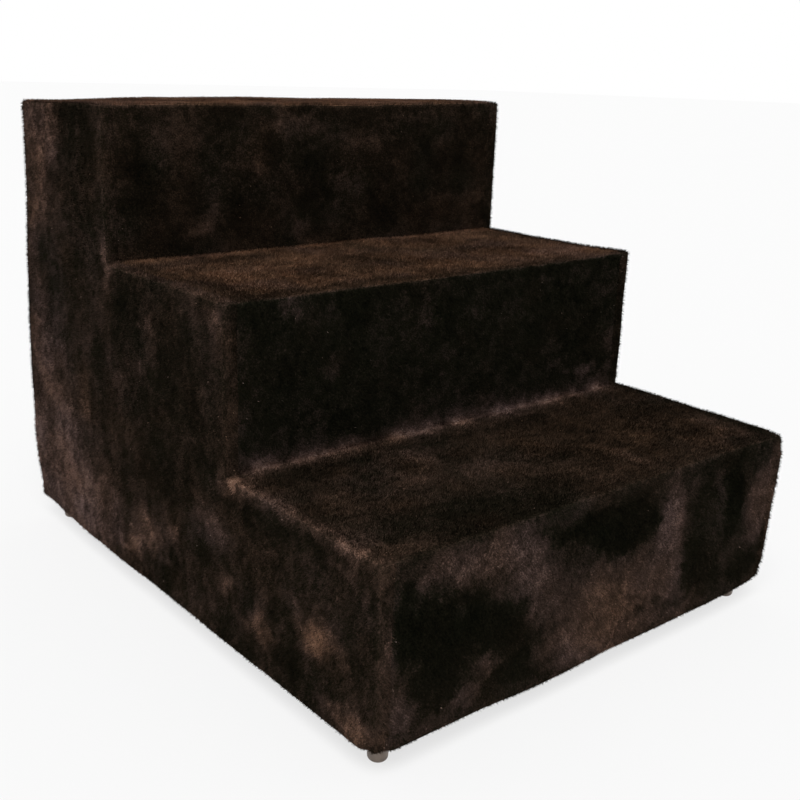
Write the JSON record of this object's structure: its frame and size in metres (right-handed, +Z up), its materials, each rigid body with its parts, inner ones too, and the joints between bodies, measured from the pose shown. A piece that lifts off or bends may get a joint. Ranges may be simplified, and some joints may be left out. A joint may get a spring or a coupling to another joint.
{
  "type": "pet stairs",
  "caption": "Stepped pet stairs: a boxed board carcass dressed in dark brown plush faux fur, on short round plastic feet.",
  "frame": {"origin": "on the floor, below the middle of the stairs: the middle of the overall box's underside", "axes": "+X to the right as one faces the lowest step, +Y from the lowest step towards the back and up the stairs, +Z up"},
  "size_m": [0.5, 0.6, 0.46],
  "materials": {
    "faux_fur": "dark chocolate brown plush faux fur, crushed in patches, matte",
    "pressed_board": "raw pressed wood board, unpainted",
    "pine": "raw sawn pine",
    "foot_plastic": "moulded grey-brown plastic, satin",
    "steel": "plain steel wire"
  },
  "bodies": {
    "root": {"left_side_cover": "faux_fur", "right_side_cover": "faux_fur", "lower_step_cover": "faux_fur", "middle_step_cover": "faux_fur", "upper_step_cover": "faux_fur", "back_cover": "faux_fur", "base_board": "pressed_board", "left_side_panel": "pressed_board", "right_side_panel": "pressed_board", "lower_tread_board": "pressed_board", "middle_tread_board": "pressed_board", "top_tread_board": "pressed_board", "lower_riser_board": "pressed_board", "middle_riser_board": "pressed_board", "upper_riser_board": "pressed_board", "back_panel": "pressed_board", "left_lower_batten": "pine", "left_middle_batten": "pine", "left_top_batten": "pine", "right_lower_batten": "pine", "right_middle_batten": "pine", "right_top_batten": "pine", "front_left_corner_block": "pine", "front_right_corner_block": "pine", "back_left_corner_block": "pine", "back_right_corner_block": "pine", "front_left_foot": "foot_plastic", "front_right_foot": "foot_plastic", "back_left_foot": "foot_plastic", "back_right_foot": "foot_plastic", "left_panel_pins": "steel", "right_panel_pins": "steel", "batten_pins": "steel", "tread_pins": "steel", "base_pins": "steel", "foot_studs": "steel", "hem_staples": "steel"}
  },
  "joints": []
}
